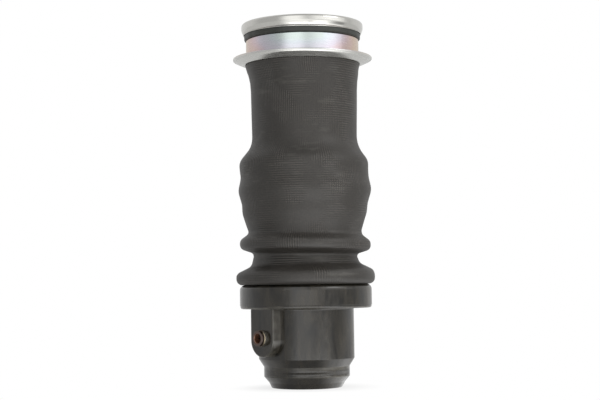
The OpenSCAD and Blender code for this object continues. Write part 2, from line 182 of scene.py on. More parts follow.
# azimuth of a point of the stage in degrees, counted as the lamps' is
def stageAzimuth(tree, place):
    front, right = (rotateAbout(camera["azimuth"] + turn, 0, 1, 0) for turn in (0, 90))
    ahead = add(tree, "ShaderNodeVectorMath", {0: place, 1: front}, output="Value", operation="DOT_PRODUCT")
    aside = add(tree, "ShaderNodeVectorMath", {0: place, 1: right}, output="Value", operation="DOT_PRODUCT")
    turn = add(tree, "ShaderNodeMath", {0: aside, 1: ahead}, operation="ARCTAN2")
    return add(tree, "ShaderNodeMath", {0: turn}, operation="DEGREES")


# a glow with patches added to it; along is what their start and end are on, an elevation or a distance
def addPatches(tree, glow, turn, along, patches):
    for patch in patches.values():
        aside = add(tree, "ShaderNodeMath", {0: turn, 1: patch["azimuth"]}, operation="SUBTRACT")
        aside = add(tree, "ShaderNodeMath", {0: aside, 1: 180, 2: -180}, operation="WRAP")
        aside = add(tree, "ShaderNodeMath", {0: aside}, operation="ABSOLUTE")
        edges = [(aside, (patch["half"], patch["half"] + patch["soft"]), 1, 0)]
        if "start" in patch:
            edges.append((along, patch["start"], 0, 1))
        if "end" in patch:
            edges.append((along, patch["end"], 1, 0))
        share = patch["glow"]
        for value, (first, last), before, after in edges:
            inputs = {"From Min": first, "From Max": last, "To Min": before, "To Max": after}
            inputs["Value"] = value
            step = add(tree, "ShaderNodeMapRange", inputs, interpolation_type="SMOOTHSTEP")
            share = add(tree, "ShaderNodeMath", {0: step, 1: share}, operation="MULTIPLY")
        glow = add(tree, "ShaderNodeMath", {0: share, 1: glow}, operation="ADD")
    return glow


def makeTent():
    mesh = bpy.data.meshes.new("tent")
    columns, rows = tent["columns"], tent["rows"]
    points, faces = [], []
    for j in range(rows):
        for i in range(columns):
            points.append(rotateAbout(360 * i / columns, 90 * j / rows, tent["radius"], 0))
    for j in range(rows - 1):
        low, high = j * columns, (j + 1) * columns
        for i in range(columns):
            after = (i + 1) % columns
            faces.append((low + i, low + after, high + after, high + i))
    faces.append(tuple(range((rows - 1) * columns, rows * columns)))
    mesh.from_pydata(points, [], faces)
    made = bpy.data.objects.new("tent", mesh)
    bpy.context.scene.collection.objects.link(made)
    material, tree = stageMaterial("tentCloth")
    place = add(tree, "ShaderNodeTexCoord", output="Object")
    turn = stageAzimuth(tree, place)
    height = add(tree, "ShaderNodeSeparateXYZ", {0: place}).node.outputs["Z"]
    slope = add(tree, "ShaderNodeMath", {0: height, 1: tent["radius"]}, operation="DIVIDE")
    slope = add(tree, "ShaderNodeMath", {0: slope}, operation="ARCSINE")
    slope = add(tree, "ShaderNodeMath", {0: slope}, operation="DEGREES")
    glow = addPatches(tree, tent["cloth"], turn, slope, tent["panels"])
    cloth = add(tree, "ShaderNodeEmission", {"Color": "#ffffff", "Strength": glow})
    add(tree, "ShaderNodeOutputMaterial", {"Surface": cloth})
    mesh.materials.append(material)
    made.visible_camera = made.visible_diffuse = False
    made.visible_shadow = made.visible_transmission = False


# the world lights the object softly, and is white where it is seen, mirrored or looked through
backdrop = {"light": 0.3, "seen": 1.0}


def makeWorld():
    world = bpy.data.worlds.new("studio")
    bpy.context.scene.world = world
    world.use_nodes = True
    tree = world.node_tree
    tree.nodes.clear()
    path = add(tree, "ShaderNodeLightPath").node
    seen = path.outputs["Is Camera Ray"]
    for ray in ("Is Glossy Ray", "Is Transmission Ray"):
        seen = add(tree, "ShaderNodeMath", {0: seen, 1: path.outputs[ray]}, operation="MAXIMUM")
    inputs = {"Value": seen, "To Min": backdrop["light"], "To Max": backdrop["seen"]}
    strength = add(tree, "ShaderNodeMapRange", inputs)
    light = add(tree, "ShaderNodeBackground", {"Color": "#ffffff", "Strength": strength})
    add(tree, "ShaderNodeOutputWorld", {"Surface": light})


# matt pale paint, which keeps the object's soft shadow beside it and fades into the white backdrop; metres
paleFloor = {"half": 4, "drop": 0.0002, "paint": "#f2f1ef", "shadow": (0.02, 0.055), "shadowShare": 0.22}


def makeFloor():
    mesh = bpy.data.meshes.new("floor")
    half = paleFloor["half"]
    corners = [(-half, -half, 0), (half, -half, 0), (half, half, 0), (-half, half, 0)]
    mesh.from_pydata(corners, [], [(0, 1, 2, 3)])
    floor = bpy.data.objects.new("floor", mesh)
    bpy.context.scene.collection.objects.link(floor)
    floor.location = (0, 0, -paleFloor["drop"])
    material, tree = stageMaterial("paleFloor")
    place = add(tree, "ShaderNodeTexCoord", output="Object")
    reach = add(tree, "ShaderNodeVectorMath", {0: place}, output="Value", operation="LENGTH")
    turn = stageAzimuth(tree, place)
    glow = addPatches(tree, floorLight["rest"], turn, reach, floorLight["patches"])
    lit = add(tree, "ShaderNodeEmission", {"Color": "#ffffff", "Strength": glow})
    first, last = paleFloor["shadow"]
    inputs = {"From Min": first, "From Max": last, "To Min": paleFloor["shadowShare"], "To Max": 0}
    inputs["Value"] = reach
    fade = add(tree, "ShaderNodeMapRange", inputs, interpolation_type="SMOOTHSTEP")
    shaded = add(tree, "ShaderNodeBsdfDiffuse", {"Color": paleFloor["paint"]})
    white = add(tree, "ShaderNodeEmission", {"Color": "#ffffff", "Strength": 1.0})
    seen = add(tree, "ShaderNodeMixShader", {"Fac": fade, 1: white, 2: shaded})
    path = add(tree, "ShaderNodeLightPath").node
    # the camera sees the shadow, a mirrored ray the light patches, and a diffuse ray the plain paint
    final = add(tree, "ShaderNodeMixShader", {"Fac": path.outputs["Is Camera Ray"], 1: lit, 2: seen})
    final = add(tree, "ShaderNodeMixShader", {"Fac": path.outputs["Is Diffuse Ray"], 1: final, 2: shaded})
    add(tree, "ShaderNodeOutputMaterial", {"Surface": final})
    mesh.materials.append(material)


makeLamps()
makeTent()
makeWorld()
makeFloor()
bpy.context.scene.view_settings.view_transform = "Standard"
print("lamps, world and floor made")


# finished materials by the name of the finish
materials = {}
# a Mix node that is set for colours takes them in inputs 6 and 7 and gives its result in output 2
colourMix = {"output": 2, "data_type": "RGBA"}


# a material with its principled shader; the caller links what varies over the surface
def startMaterial(name, colour, roughness, metallic=0.0, ior=1.5):
    material = bpy.data.materials.new(name)
    material.use_nodes = True
    tree = material.node_tree
    shader = tree.nodes["Principled BSDF"]
    shader.inputs["Base Color"].default_value = linear(colour)
    shader.inputs["Roughness"].default_value = roughness
    shader.inputs["Metallic"].default_value = metallic
    shader.inputs["IOR"].default_value = ior
    return material, tree, shader


# relief that runs round the axis: points give how far the surface stands out against the height, both in mm
def addRelief(tree, shader, place, points):
    height = add(tree, "ShaderNodeSeparateXYZ", {0: place}).node.outputs["Z"]
    lift = smoothCurve(tree, height, inMetres(points))
    below = shader.inputs["Normal"].links[0].from_socket
    bump = add(tree, "ShaderNodeBump", {"Height": lift, "Distance": 1.0, "Strength": 1.0, "Normal": below})
    tree.links.new(bump, shader.inputs["Normal"])


# chloroprene rubber cured under a cloth wrap: matt charcoal, with the wrap's square weave pressed in, whose
# ribs catch the light in some places more than in others; the colour paints that light, lighter on the ribs
# as painted highlight and darker in the grooves as painted shade. The real threads are about 0.8 mm apart and
# are drawn at 1.5 mm so that they show
rubberFinish = {
    "low": "#1a1815", "high": "#5a564f", "warm": "#5b544d", "scuff": "#6c6a64",
    "roughness": 0.52, "uneven": 0.07, "ior": 1.52,
    "thread": 1.5 * mm, "relief": 0.1 * mm,
    "patch": 20.8 * mm, "patchNoise": (0.5, 0.62), "pressed": (0.05, 1.35),  # how deep, least and most
    "ribHighlightShares": [(-2.8, 0), (-1, 0.04), (0, 0.1), (1, 0.28), (2.8, 1)],  # the weave's height and the share of the painted rib highlight
    "grit": 1.11 * mm, "gritTone": 0.15, "gritHeight": 0.6,
    "cloud": 33.3 * mm, "cloudNoise": (0.3, 0.7),
    "scuffLength": 20 * mm, "scuffFlatness": 5, "scuffNoise": (0.58, 0.74), "scuffShare": 0.22,
}


def makeRubber():
    look = rubberFinish
    name = "curedRubberClothImprint"
    material, tree, shader = startMaterial(name, look["low"], look["roughness"], ior=look["ior"])
    sheet = add(tree, "ShaderNodeUVMap", uv_map="sleeve")
    sheet = add(tree, "ShaderNodeSeparateXYZ", {0: sheet}).node.outputs
    place = add(tree, "ShaderNodeTexCoord", output="Object")
    waves = []
    threadTurn = 2 * math.pi / look["thread"]
    for side, seed in (("X", 0.0), ("Y", 0.4)):
        turns = add(tree, "ShaderNodeMath", {0: sheet[side], 1: threadTurn}, operation="MULTIPLY")
        wave = add(tree, "ShaderNodeMath", {0: turns}, operation="COSINE")
        inputs = {"Vector": place, "W": seed, "Scale": 1 / look["patch"], "Detail": 2, "Roughness": 0.5}
        patches = add(tree, "ShaderNodeTexNoise", inputs, noise_dimensions="4D")
        first, last = look["patchNoise"]
        least, most = look["pressed"]
        inputs = {"Value": patches, "From Min": first, "From Max": last, "To Min": least, "To Max": most}
        pressed = add(tree, "ShaderNodeMapRange", inputs)
        waves.append(add(tree, "ShaderNodeMath", {0: wave, 1: pressed}, operation="MULTIPLY"))
    weave = add(tree, "ShaderNodeMath", {0: waves[0], 1: waves[1]}, operation="ADD")
    grit = add(tree, "ShaderNodeTexNoise", {"Vector": place, "Scale": 1 / look["grit"], "Detail": 2})
    inputs = {"Vector": place, "Scale": 1 / look["cloud"], "Detail": 3, "Roughness": 0.55}
    clouds = add(tree, "ShaderNodeTexNoise", inputs)
    inputs = {"Value": grit, "To Min": -look["gritTone"], "To Max": look["gritTone"]}
    speckle = add(tree, "ShaderNodeMapRange", inputs)
    # painted highlight on the weave's ribs and painted shade in its grooves, plus random speckle from the
    # grit
    ribHighlightAndSpeckle = smoothCurve(tree, weave, look["ribHighlightShares"])
    ribHighlightAndSpeckle = add(tree, "ShaderNodeMath", {0: ribHighlightAndSpeckle, 1: speckle}, operation="ADD")
    hue = add(tree, "ShaderNodeMix", {"Factor": clouds, 6: look["high"], 7: look["warm"]}, **colourMix)
    colour = add(tree, "ShaderNodeMix", {"Factor": ribHighlightAndSpeckle, 6: look["low"], 7: hue}, **colourMix)
    flattened = add(tree, "ShaderNodeMapping", {"Vector": place, "Scale": (1, 1, look["scuffFlatness"])})
    inputs = {"Vector": flattened, "Scale": 1 / look["scuffLength"], "Detail": 4, "Roughness": 0.6}
    scuffs = add(tree, "ShaderNodeTexNoise", inputs)
    first, last = look["scuffNoise"]
    inputs = {"Value": scuffs, "From Min": first, "From Max": last, "To Max": look["scuffShare"]}
    scuffs = add(tree, "ShaderNodeMapRange", inputs)
    colour = add(tree, "ShaderNodeMix", {"Factor": scuffs, 6: colour, 7: look["scuff"]}, **colourMix)
    tree.links.new(colour, shader.inputs["Base Color"])
    first, last = look["cloudNoise"]
    smooth, dull = look["roughness"] - look["uneven"], look["roughness"] + look["uneven"]
    inputs = {"Value": clouds, "From Min": first, "From Max": last, "To Min": smooth, "To Max": dull}
    tree.links.new(add(tree, "ShaderNodeMapRange", inputs), shader.inputs["Roughness"])
    pits = add(tree, "ShaderNodeMath", {0: grit, 1: look["gritHeight"]}, operation="MULTIPLY")
    height = add(tree, "ShaderNodeMath", {0: weave, 1: pits}, operation="ADD")
    bump = add(tree, "ShaderNodeBump", {"Height": height, "Distance": look["relief"], "Strength": 0.8})
    tree.links.new(bump, shader.inputs["Normal"])
    materials["rubber"] = material


# moulded surfaces: upright streaks where the plastic flowed, soft swells along them, and fine grit
moulding = {
    "ior": 1.55,
    "upright": 0.3,  # how much slower the streaks and swells change upwards than round
    "streak": 7.69 * mm, "streakNoise": (0.35, 0.65),
    "swell": 6.67 * mm, "swellHeight": 0.5 * mm,
    "grit": 1.43 * mm, "gritHeight": 0.015 * mm,
}


def makePlastic(key, name, dark, light, roughness, uneven=0.1, relief=()):
    material, tree, shader = startMaterial(name, dark, roughness, ior=moulding["ior"])
    place = add(tree, "ShaderNodeTexCoord", output="Object")
    upright = add(tree, "ShaderNodeMapping", {"Vector": place, "Scale": (1, 1, moulding["upright"])})
    inputs = {"Scale": 1 / moulding["streak"], "Detail": 4, "Roughness": 0.6, "Distortion": 0.6}
    inputs["Vector"] = upright
    streaks = add(tree, "ShaderNodeTexNoise", inputs)
    first, last = moulding["streakNoise"]
    shade = add(tree, "ShaderNodeMapRange", {"Value": streaks, "From Min": first, "From Max": last})
    colour = add(tree, "ShaderNodeMix", {"Factor": shade, 6: dark, 7: light}, **colourMix)
    tree.links.new(colour, shader.inputs["Base Color"])
    inputs = {"Value": shade, "To Min": roughness - uneven, "To Max": roughness + uneven}
    tree.links.new(add(tree, "ShaderNodeMapRange", inputs), shader.inputs["Roughness"])
    grit = add(tree, "ShaderNodeTexNoise", {"Vector": place, "Scale": 1 / moulding["grit"], "Detail": 2})
    inputs = {"Vector": upright, "Scale": 1 / moulding["swell"], "Detail": 2}
    swell = add(tree, "ShaderNodeTexNoise", inputs)
    inputs = {"Height": grit, "Distance": moulding["gritHeight"], "Strength": 0.5}
    fine = add(tree, "ShaderNodeBump", inputs)
    inputs = {"Height": swell, "Distance": moulding["swellHeight"], "Strength": 0.5, "Normal": fine}
    tree.links.new(add(tree, "ShaderNodeBump", inputs), shader.inputs["Normal"])
    if relief:
        addRelief(tree, shader, place, relief)
    materials[key] = material
    return tree, shader, place


# painted highlights in a pale colour where the base's edges catch the light, in some stretches more than in
# others, and painted light on the port's boss. A pair there is where the painted light begins and is full, in
# mm: out from the boss's middle, on Y and on Z
paintedHighlights = {
    "colour": "#5b5850",
    "edges": [  # height in mm and share
        (0, 0), (6.9, 0), (7.5, 1), (8.4, 0.6), (9.4, 0), (11.2, 0), (12.2, 0.7), (13.9, 1), (14.6, 0),
        (51.4, 0), (52.2, 0.8), (53.2, 0.7), (53.8, 0), (60, 0),
    ],
    "stretch": 45.5 * mm, "stretchNoise": (0.35, 0.55), "stretchLeast": 0.3,
    "break": 6.25 * mm, "breakNoise": (0.35, 0.6), "breakLeast": 0.35,
    "bossRound": 32.2,  # the height under which the boss is round
    "bossRim": {"share": 0.6, "out": (9.8, 10.8), "Y": (-38.3, -39.3)},
    "bossFlank": {"share": 0.55, "out": (10.9, 11.05), "Y": (-32.8, -33.4), "Z": (51.4, 51.0)},
}


# paints the highlights: a pale colour on the edges by height, broken into stretches, and on the rim and flank
# of the port's boss
def addPaintedHighlights(tree, shader, place):
    spot = add(tree, "ShaderNodeSeparateXYZ", {0: place}).node.outputs
    share = smoothCurve(tree, spot["Z"], [(z * mm, share) for z, share in paintedHighlights["edges"]])
    inputs = {"Vector": place, "W": 2.0, "Scale": 1 / paintedHighlights["stretch"], "Detail": 0}
    stretches = add(tree, "ShaderNodeTexNoise", inputs, noise_dimensions="4D")
    first, last = paintedHighlights["stretchNoise"]
    inputs = {"Value": stretches, "From Min": first, "From Max": last, "To Min": paintedHighlights["stretchLeast"]}
    stretches = add(tree, "ShaderNodeMapRange", inputs)
    share = add(tree, "ShaderNodeMath", {0: share, 1: stretches}, operation="MULTIPLY")
    below = add(tree, "ShaderNodeMath", {0: spot["Z"], 1: paintedHighlights["bossRound"] * mm}, operation="SUBTRACT")
    below = add(tree, "ShaderNodeMath", {0: below, 1: 0.0}, operation="MINIMUM")
    out = add(tree, "ShaderNodeCombineXYZ", {"X": spot["X"], "Y": below})
    out = add(tree, "ShaderNodeVectorMath", {0: out}, output="Value", operation="LENGTH")
    for litPart in (paintedHighlights["bossRim"], paintedHighlights["bossFlank"]):
        there = litPart["share"]
        for key, value in (("out", out), ("Y", spot["Y"]), ("Z", spot["Z"])):
            if key in litPart:
                first, last = (v * mm for v in litPart[key])
                inputs = {"Value": value, "From Min": first, "From Max": last}
                step = add(tree, "ShaderNodeMapRange", inputs)
                there = add(tree, "ShaderNodeMath", {0: step, 1: there}, operation="MULTIPLY")
        share = add(tree, "ShaderNodeMath", {0: share, 1: there}, operation="MAXIMUM")
    breaks = add(tree, "ShaderNodeTexNoise", {"Vector": place, "Scale": 1 / paintedHighlights["break"], "Detail": 3})
    first, last = paintedHighlights["breakNoise"]
    inputs = {"Value": breaks, "From Min": first, "From Max": last, "To Min": paintedHighlights["breakLeast"]}
    breaks = add(tree, "ShaderNodeMapRange", inputs)
    share = add(tree, "ShaderNodeMath", {0: share, 1: breaks}, operation="MULTIPLY")
    plain = shader.inputs["Base Color"].links[0].from_socket
    colour = add(tree, "ShaderNodeMix", {"Factor": share, 6: plain, 7: paintedHighlights["colour"]}, **colourMix)
    tree.links.new(colour, shader.inputs["Base Color"])


# metals: clouds of colour, and fine lines round the axis, left by rolling or turning, that the shine follows
grain = {
    "cloud": 18.2 * mm, "line": 25 * mm, "lineNoise": (0.3, 0.7), "lineHeight": 0.01 * mm,
    "dulling": (0.8, 1.25),  # the roughness between the lines and on them, as shares of the metal's own
}


# fineness is how many times narrower than long the lines are, and haze the share of a milky film
def makeMetal(key, name, dark, light, roughness, fineness, axis="Z", haze=0, relief=()):
    material, tree, shader = startMaterial(name, light, roughness, metallic=1 - haze)
    place = add(tree, "ShaderNodeTexCoord", output="Object")
    inputs = {"Vector": place, "Scale": 1 / grain["cloud"], "Detail": 4, "Roughness": 0.6}
    clouds = add(tree, "ShaderNodeTexNoise", inputs)
    colour = add(tree, "ShaderNodeMix", {"Factor": clouds, 6: dark, 7: light}, **colourMix)
    tree.links.new(colour, shader.inputs["Base Color"])
    squeeze = (1, 1, fineness) if axis == "Z" else (1, fineness, 1)
    squeezed = add(tree, "ShaderNodeMapping", {"Vector": place, "Scale": squeeze})
    lines = add(tree, "ShaderNodeTexNoise", {"Vector": squeezed, "Scale": 1 / grain["line"], "Detail": 2})
    first, last = grain["lineNoise"]
    smooth, dull = (roughness * share for share in grain["dulling"])
    inputs = {"Value": lines, "From Min": first, "From Max": last, "To Min": smooth, "To Max": dull}
    tree.links.new(add(tree, "ShaderNodeMapRange", inputs), shader.inputs["Roughness"])
    bump = add(tree, "ShaderNodeBump", {"Height": lines, "Distance": grain["lineHeight"], "Strength": 0.4})
    tree.links.new(bump, shader.inputs["Normal"])
    if relief:
        addRelief(tree, shader, place, relief)
    materials[key] = material
    return tree, shader, place


# faint rainbow of the zinc's passivation: the film's thickness, 0 to 1, sets its tint, from straw over rose
# and lilac to blue and green. It is thickest on one side and the one opposite, and thinner at the collar's
# foot than under its seal; the skirt and flange stay plain
film = {
    "tints": ["#fdebc4", "#ffe4d8", "#ffe8ec", "#fbf3ff", "#f6f6ff", "#f2f9ff", "#f2fefa"],
    "thickSide": (0.695, -0.719, 0),
    "height": (222.0 * mm, 228.0 * mm), "foot": 0.7, "top": 1.1,
    "patch": 16.7 * mm, "patchNoise": (0.3, 0.7), "patchShare": 0.07,
    "plain": "#fbfbf6", "plainTop": (218.2 * mm, 220.5 * mm),
}


def makeRainbow(tree, shader, place):
    flat = add(tree, "ShaderNodeVectorMath", {0: place, 1: (1, 1, 0)}, operation="MULTIPLY")
    flat = add(tree, "ShaderNodeVectorMath", {0: flat}, operation="NORMALIZE")
    inputs = {0: flat, 1: film["thickSide"]}
    side = add(tree, "ShaderNodeVectorMath", inputs, output="Value", operation="DOT_PRODUCT")
    thick = add(tree, "ShaderNodeMath", {0: side, 1: side}, operation="MULTIPLY")
    height = add(tree, "ShaderNodeSeparateXYZ", {0: place}).node.outputs["Z"]
    low, high = film["height"]
    inputs = {"From Min": low, "From Max": high, "To Min": film["foot"], "To Max": film["top"]}
    inputs["Value"] = height
    level = add(tree, "ShaderNodeMapRange", inputs)
    drift = add(tree, "ShaderNodeTexNoise", {"Vector": place, "Scale": 1 / film["patch"], "Detail": 2})
    first, last = film["patchNoise"]
    sway = film["patchShare"]
    inputs = {"Value": drift, "From Min": first, "From Max": last, "To Min": -sway, "To Max": sway}
    drift = add(tree, "ShaderNodeMapRange", inputs)
    thick = add(tree, "ShaderNodeMath", {0: thick, 1: level, 2: drift}, operation="MULTIPLY_ADD")
    tint = add(tree, "ShaderNodeValToRGB", {"Fac": thick})
    band = tint.node.color_ramp
    while len(band.elements) < len(film["tints"]):
        band.elements.new(0.5)
    for i, (element, colour) in enumerate(zip(band.elements, film["tints"])):
        element.position = i / (len(film["tints"]) - 1)
        element.color = linear(colour)
    first, last = film["plainTop"]
    share = add(tree, "ShaderNodeMapRange", {"Value": height, "From Min": first, "From Max": last})
    tint = add(tree, "ShaderNodeMix", {"Factor": share, 6: film["plain"], 7: tint}, **colourMix)
    plain = shader.inputs["Base Color"].links[0].from_socket
    inputs = {"Factor": 1.0, 6: plain, 7: tint}
    colour = add(tree, "ShaderNodeMix", inputs, blend_type="MULTIPLY", **colourMix)
    tree.links.new(colour, shader.inputs["Base Color"])


# how the port's brass is coloured: tarnished by the distance from its axis on the collet; on the ring,
# darkened above and below as painted shade, with a paler grey on its outer wall
portLook = {
    "height": 33.5 * mm,
    "bore": "#b38a72", "boreEdge": (3.18 * mm, 3.3 * mm),
    "ringShade": "#463c32", "bright": (0.55, 0.8),  # how far aside the painted shade begins to give way and is gone
    # the ring's outer wall, beyond this distance from the axis, is painted a paler grey
    "wallGrey": "#a8a49a", "wall": (5.34 * mm, 5.39 * mm),
}


# the way from the port's axis to a point of the surface
def fromPortAxis(tree, place):
    axis = (0, 0, portLook["height"])
    offset = add(tree, "ShaderNodeVectorMath", {0: place, 1: axis}, operation="SUBTRACT")
    return add(tree, "ShaderNodeVectorMath", {0: offset, 1: (1, 0, 1)}, operation="MULTIPLY")


def tarnishCollet(tree, shader, place):
    flat = fromPortAxis(tree, place)
    reach = add(tree, "ShaderNodeVectorMath", {0: flat}, output="Value", operation="LENGTH")
    inner, outer = portLook["boreEdge"]
    share = add(tree, "ShaderNodeMapRange", {"Value": reach, "From Min": inner, "From Max": outer})
    plain = shader.inputs["Base Color"].links[0].from_socket
    colour = add(tree, "ShaderNodeMix", {"Factor": share, 6: portLook["bore"], 7: plain}, **colourMix)
    tree.links.new(colour, shader.inputs["Base Color"])


# darkens the ring above and below its axis as painted shade, leaves it brighter at its sides, and paints its
# outer wall a paler grey
def paintRingShade(tree, shader, place):
    flat = fromPortAxis(tree, place)
    unit = add(tree, "ShaderNodeVectorMath", {0: flat}, operation="NORMALIZE")
    aside = add(tree, "ShaderNodeSeparateXYZ", {0: unit}).node.outputs["X"]
    aside = add(tree, "ShaderNodeMath", {0: aside}, operation="ABSOLUTE")
    first, last = portLook["bright"]
    share = add(tree, "ShaderNodeMapRange", {"Value": aside, "From Min": first, "From Max": last})
    plain = shader.inputs["Base Color"].links[0].from_socket
    colour = add(tree, "ShaderNodeMix", {"Factor": share, 6: portLook["ringShade"], 7: plain}, **colourMix)
    reach = add(tree, "ShaderNodeVectorMath", {0: flat}, output="Value", operation="LENGTH")
    inner, outer = portLook["wall"]
    share = add(tree, "ShaderNodeMapRange", {"Value": reach, "From Min": inner, "From Max": outer})
    colour = add(tree, "ShaderNodeMix", {"Factor": share, 6: colour, 7: portLook["wallGrey"]}, **colourMix)
    tree.links.new(colour, shader.inputs["Base Color"])


# the neck band has a raised lip at both edges, the top flange is domed towards its rim, and the bead is
# rolled under at its lower edge; heights and relief in mm
neckLips = [
    (0, 0.2), (7.3, 0.2), (8.4, 0.04), (9.2, 0), (11.4, 0.26), (12.0, 0.26), (14.3, -0.06), (14.8, -0.06),
    (60, -0.06),
]
skirtDome = [
    (200, 0), (216.7, 0), (217.2, -0.08), (217.6, -0.3), (218.0, -0.85), (218.3, -1.1),
    (235, -1.1),
]
beadRoll = [
    (230, -0.7), (234.9, -0.7), (235.4, -0.45), (236.0, -0.22), (236.6, -0.07), (237.2, -0.01), (237.8, 0),
    (245, 0),
]

makeRubber()
# glass-filled nylon, injection moulded: near black and satin, with faint upright streaks, paler and duller,
# and painted highlights on its edges and the port's boss
addPaintedHighlights(*makePlastic(
    "basePlastic", "mouldedGlassNylon", "#12110e", "#2e2a22", 0.19, uneven=0.06, relief=neckLips))
# the same nylon, with no painted highlights on it
makePlastic("collarPlastic", "mouldedNylonCollar", "#12110e", "#2e2a22", 0.19, uneven=0.06)
# moulded nitrile rubber: black, even and dull
makePlastic("sealRubber", "nitrileRubber", "#1c1e1a", "#262924", 0.5)
# turned acetal in its natural colour: milky and waxy
makePlastic("spacerPlastic", "naturalAcetal", "#c9c6bb", "#d6d3c8", 0.4)
# moulded bearing plastic filled with bronze powder: brown and matt
makePlastic("bushPlastic", "bronzeFilledBearing", "#6b5134", "#7c5f3f", 0.45)
# phosphated spring steel: grey with a dull shine
makeMetal("springSteel", "phosphatedSpringSteel", "#6c6d6e", "#8b8c8c", 0.4, 30)
# turned brass: grey-yellow with fine turning lines, darkened above and below as painted shade, brighter at
# its sides, with a paler grey on its outer wall
paintRingShade(*makeMetal("portBrass", "machinedBrass", "#756a58", "#978c78", 0.36, 60, "Y"))
# turned brass, gone dull and brown except at the bore's edge
tarnishCollet(*makeMetal("colletBrass", "dullBrass", "#564a46", "#6a5f5a", 0.45, 60, "Y"))
# rolled sheet, bright zinc plated: nearly white and close to a mirror, with fine lines round it
makeMetal("beadZinc", "brightZincPlate", "#c4c3be", "#d0cfca", 0.16, 40, relief=beadRoll)
# pressed sheet, zinc plated and passivated: silver under a faint rainbow, a little softer than the bead
makeRainbow(*makeMetal(
    "collarZinc", "passivatedZincPlate", "#c8c8c8", "#d4d4d4", 0.24, 30, haze=0.05, relief=skirtDome))

finishOf = {
    "base": "basePlastic", "clamp_collar": "collarPlastic", "crimp_ring": "springSteel",
    "wiper_seal": "sealRubber", "lower_o_ring": "sealRubber", "seal_spacer": "spacerPlastic",
    "upper_o_ring": "sealRubber", "guide_bush": "bushPlastic", "backup_washer": "springSteel",
    "pack_retainer": "springSteel", "port_body": "portBrass", "port_body_seal": "sealRubber",
    "port_tube_seal": "sealRubber", "port_seal_spacer": "spacerPlastic", "port_grab_ring": "springSteel",
    "port_collet": "colletBrass", "bead_ring": "beadZinc", "bead_seal": "sealRubber",
    "outer_collar": "collarZinc",
}
for name, finish in finishOf.items():
    mesh = nodes[name].data
    mesh.materials.clear()
    mesh.materials.append(materials[finish])
print("materials given to", len(finishOf), "CAD nodes")

# the rubber sleeve; each station of its outline is radius, height and rounding in mm, from the cuff upwards
sleeve = {
    "stations": [
        (33.0, 55.0, 0), (33.0, 68.45, 3.4), (40.0, 68.1, 20), (46.1, 67.6, 4.05), (46.1, 76.15, 4.7),
        (36.1, 81.1, 5), (34.0, 88.25, 2.5), (43.6, 91.37, 3.9), (43.6, 96.99, 4.2), (37.2, 101.8, 3.6),
        (41.47, 115.29, 14), (41.97, 121.6, 10), (44.5, 130.5, 10), (42.65, 139.3, 14), (43.2, 149.8, 8.5),
        (34.95, 160.6, 17), (35.65, 203.0, 55), (38.35, 214.8, 1.5), (36.15, 218.4, 4), (36.15, 230.9, 0),
    ],
    "wall": 3.0,
    "columns": 288,
    "step": 9,  # degrees of arc between two rows
    "longest": 2.6,  # mm between two rows on the straights
    "clothRadius": 39.8,  # mm, the mean radius that the weave is laid out on
    "dents": {"size": 1.1, "climb": 22, "seed": 3.0},  # climb: a metre of height, where the radius is 1
}


def leftOf(way):
    return Vector((-way.y, way.x))


# points of an outline with rounded corners, shifted to its left by inset
def roundedPath(stations, inset):
    points = [Vector((r, z)) for r, z, _ in stations]
    made = [points[0] + leftOf((points[1] - points[0]).normalized()) * inset]
    for i in range(1, len(points) - 1):
        before = (points[i] - points[i - 1]).normalized()
        after = (points[i + 1] - points[i]).normalized()
        side = 1 if leftOf(before).dot(after) > 0 else -1
        turn = math.acos(max(-1, min(1, before.dot(after))))
        radius = stations[i][2]
        middle = points[i] - before * radius * math.tan(turn / 2) + leftOf(before) * radius * side
        start = math.atan2(-before.x * side, before.y * side)
        steps = max(2, math.ceil(math.degrees(turn) / sleeve["step"]))
        for k in range(steps + 1):
            angle = start + side * turn * k / steps
            made.append(middle + Vector((math.cos(angle), math.sin(angle))) * (radius - side * inset))
    made.append(points[-1] + leftOf((points[-1] - points[-2]).normalized()) * inset)
    full = [made[0]]
    for start, end in zip(made, made[1:]):
        steps = math.ceil((end - start).length / sleeve["longest"])
        full += [start.lerp(end, k / steps) for k in range(1, steps)]
        full.append(end)
    return full


def sleeveOutline():
    outside = roundedPath(sleeve["stations"], 0)
    inside = roundedPath(sleeve["stations"], sleeve["wall"])
    loop = outside + inside[::-1] + outside[:1]
    mesh = bpy.data.meshes.new("sleeveOutline")
    edges = [(i, i + 1) for i in range(len(loop) - 1)]
    mesh.from_pydata([(p.x * mm, 0, p.y * mm) for p in loop], edges, [])
    # how far along the outline each point is, for the weave
    run = mesh.attributes.new("run", "FLOAT", "POINT")
    total, runs = 0, [0]
    for a, b in zip(loop, loop[1:]):
        total += (b - a).length * mm
        runs.append(total)
    run.data.foreach_set("value", runs)
    made = bpy.data.objects.new("sleeveOutline", mesh)
    bpy.context.scene.collection.objects.link(made)
    return made, len(loop)


# how the sleeve departs from round, against its height, in mm: its neck leans to the photograph's right, its
# folds hang higher or lower on that side, and soft dents are spread over it
askew = {
    "neckShift": [
        (50, 0), (62, 0), (72, 0.05), (98, 0.15), (110, 0), (128, 0.3), (140, 0.2), (148, -0.15),
        (158, 0.4), (170, 0.75), (200, 0.7), (209, 0.4), (213, 0), (250, 0),
    ],
    "foldTilt": [
        (50, 0), (69, 0), (74, 0.1), (79, 0.75), (84, 0.2), (89, -0.6), (95, -0.75), (101, -0.6), (107, 0),
        (250, 0),
    ],
    "dents": [
        (50, 0), (69, 0), (80, 0.12), (110, 0.2), (130, 0.35), (150, 0.3), (180, 0.22), (205, 0.1),
        (212, 0), (250, 0),
    ],
}
photoRight = math.radians(camera["azimuth"])  # the photograph's right, as a turn from +X


